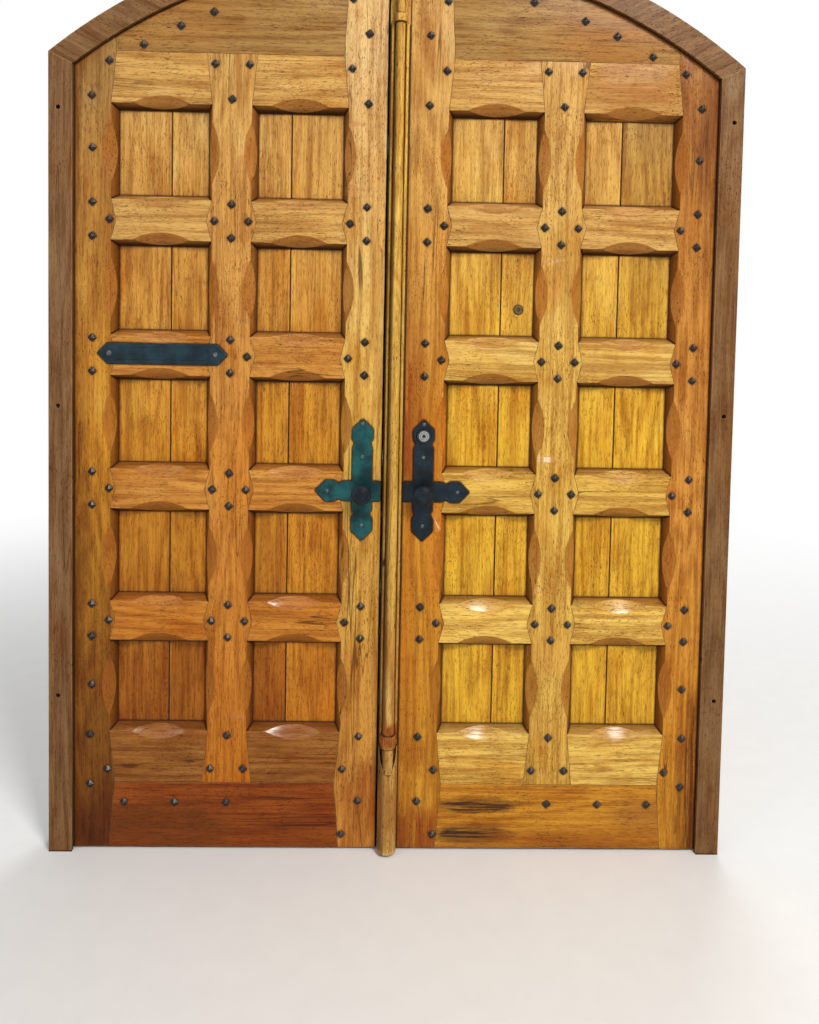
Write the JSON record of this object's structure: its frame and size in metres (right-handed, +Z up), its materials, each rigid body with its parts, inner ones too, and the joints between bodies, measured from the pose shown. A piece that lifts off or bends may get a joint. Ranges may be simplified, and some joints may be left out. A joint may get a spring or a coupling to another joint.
{
  "type": "arched double door",
  "caption": "Arched pair of oak leaves in a rebated frame: scooped lattice over boards, iron nails, a planted column, cross plates, a letter plate and strap hinges.",
  "frame": {"origin": "middle of the frame on the floor, at half the leaf's thickness", "axes": "+X to the right as seen from the street, +Y indoors, +Z up"},
  "size_m": [1.822, 0.2, 2.4576],
  "materials": {
    "lattice_oak": "varnished honey oak, worn and cracked",
    "board_oak": "varnished oak boards",
    "column_oak": "varnished oak, chipped at its foot",
    "frame_oak": "oiled oak",
    "nail_iron": "forged, blackened",
    "black_iron": "black paint, slightly green",
    "satin_steel": "satin",
    "bronze": "dulled",
    "lens_glass": "clear"
  },
  "bodies": {
    "frame": {"jamb_left": "frame_oak", "jamb_right": "frame_oak", "head_left": "frame_oak", "head_right": "frame_oak", "frame_pegs": "frame_oak", "pintles": "black_iron", "top_bolt_keep": "black_iron"},
    "right_leaf": {"right_meeting_stile": "lattice_oak", "right_outer_stile": "lattice_oak", "right_muntin": "lattice_oak", "right_bottom_rail": "lattice_oak", "right_lower_rail": "lattice_oak", "right_rail_1": "lattice_oak", "right_rail_2": "lattice_oak", "right_rail_3": "lattice_oak", "right_rail_4": "lattice_oak", "right_upper_rail": "lattice_oak", "right_arch_rail": "lattice_oak", "right_board_inner": "board_oak", "right_board_middle": "board_oak", "right_board_outer": "board_oak", "right_nails": "nail_iron", "right_straps": "black_iron", "right_cross_plate": "black_iron", "right_plate_screws": "black_iron", "column": "column_oak", "cylinder_body": "satin_steel", "lock_case": "black_iron", "viewer_body": "bronze", "viewer_lens": "lens_glass"},
    "left_leaf": {"left_meeting_stile": "lattice_oak", "left_outer_stile": "lattice_oak", "left_muntin": "lattice_oak", "left_bottom_rail": "lattice_oak", "left_lower_rail": "lattice_oak", "left_rail_1": "lattice_oak", "left_rail_2": "lattice_oak", "left_rail_3": "lattice_oak", "left_rail_4": "lattice_oak", "left_upper_rail": "lattice_oak", "left_arch_rail": "lattice_oak", "left_board_inner": "board_oak", "left_board_middle": "board_oak", "left_board_outer": "board_oak", "left_nails": "nail_iron", "left_straps": "black_iron", "left_cross_plate": "black_iron", "left_plate_bolts": "black_iron", "dummy_knob": "black_iron", "letter_plate": "black_iron", "lock_keep": "black_iron", "top_bolt_plate": "black_iron"},
    "knob": {"knob_outer": "black_iron", "knob_inner": "black_iron"},
    "key_plug_body": {"key_plug": "satin_steel"},
    "latch": {"latch_bolt": "satin_steel"},
    "deadbolt": {"dead_bolt": "satin_steel"},
    "flap": {"letter_flap": "black_iron"},
    "rod": {"top_bolt": "satin_steel"}
  },
  "joints": [
    {"name": "right_hinge", "type": "hinge", "parent": "frame", "child": "right_leaf", "pos_m": [0.868, 0.0425, 0], "axis": [0, 0, -1], "range_deg": [0, 95]},
    {"name": "left_hinge", "type": "hinge", "parent": "frame", "child": "left_leaf", "pos_m": [-0.868, 0.0425, 0], "axis": [0, 0, 1], "range_deg": [0, 95]},
    {"name": "knob_turn", "type": "hinge", "parent": "right_leaf", "child": "knob", "pos_m": [0.082, 0, 0.992], "axis": [0, -1, 0], "range_deg": [0, 50]},
    {"name": "latch_slide", "type": "slide", "parent": "right_leaf", "child": "latch", "axis": [-1, 0, 0], "range_m": [0, 0.016]},
    {"name": "key_turn", "type": "hinge", "parent": "right_leaf", "child": "key_plug_body", "pos_m": [0.082, 0, 1.143], "axis": [0, -1, 0], "range_deg": [0, 90]},
    {"name": "dead_slide", "type": "slide", "parent": "right_leaf", "child": "deadbolt", "axis": [-1, 0, 0], "range_m": [0, 0.024]},
    {"name": "flap_hinge", "type": "hinge", "parent": "left_leaf", "child": "flap", "pos_m": [-0.6165, -0.0333, 1.3655], "axis": [-1, 0, 0], "range_deg": [0, 75]},
    {"name": "rod_slide", "type": "slide", "parent": "left_leaf", "child": "rod", "axis": [0, 0, 1], "range_m": [0, 0.036]}
  ],
  "couplings": [
    {"joint": "latch_slide", "follows": "knob_turn", "m_per_rad": 0.018334},
    {"joint": "key_turn", "follows": "dead_slide", "rad_per_m": 65.45}
  ]
}
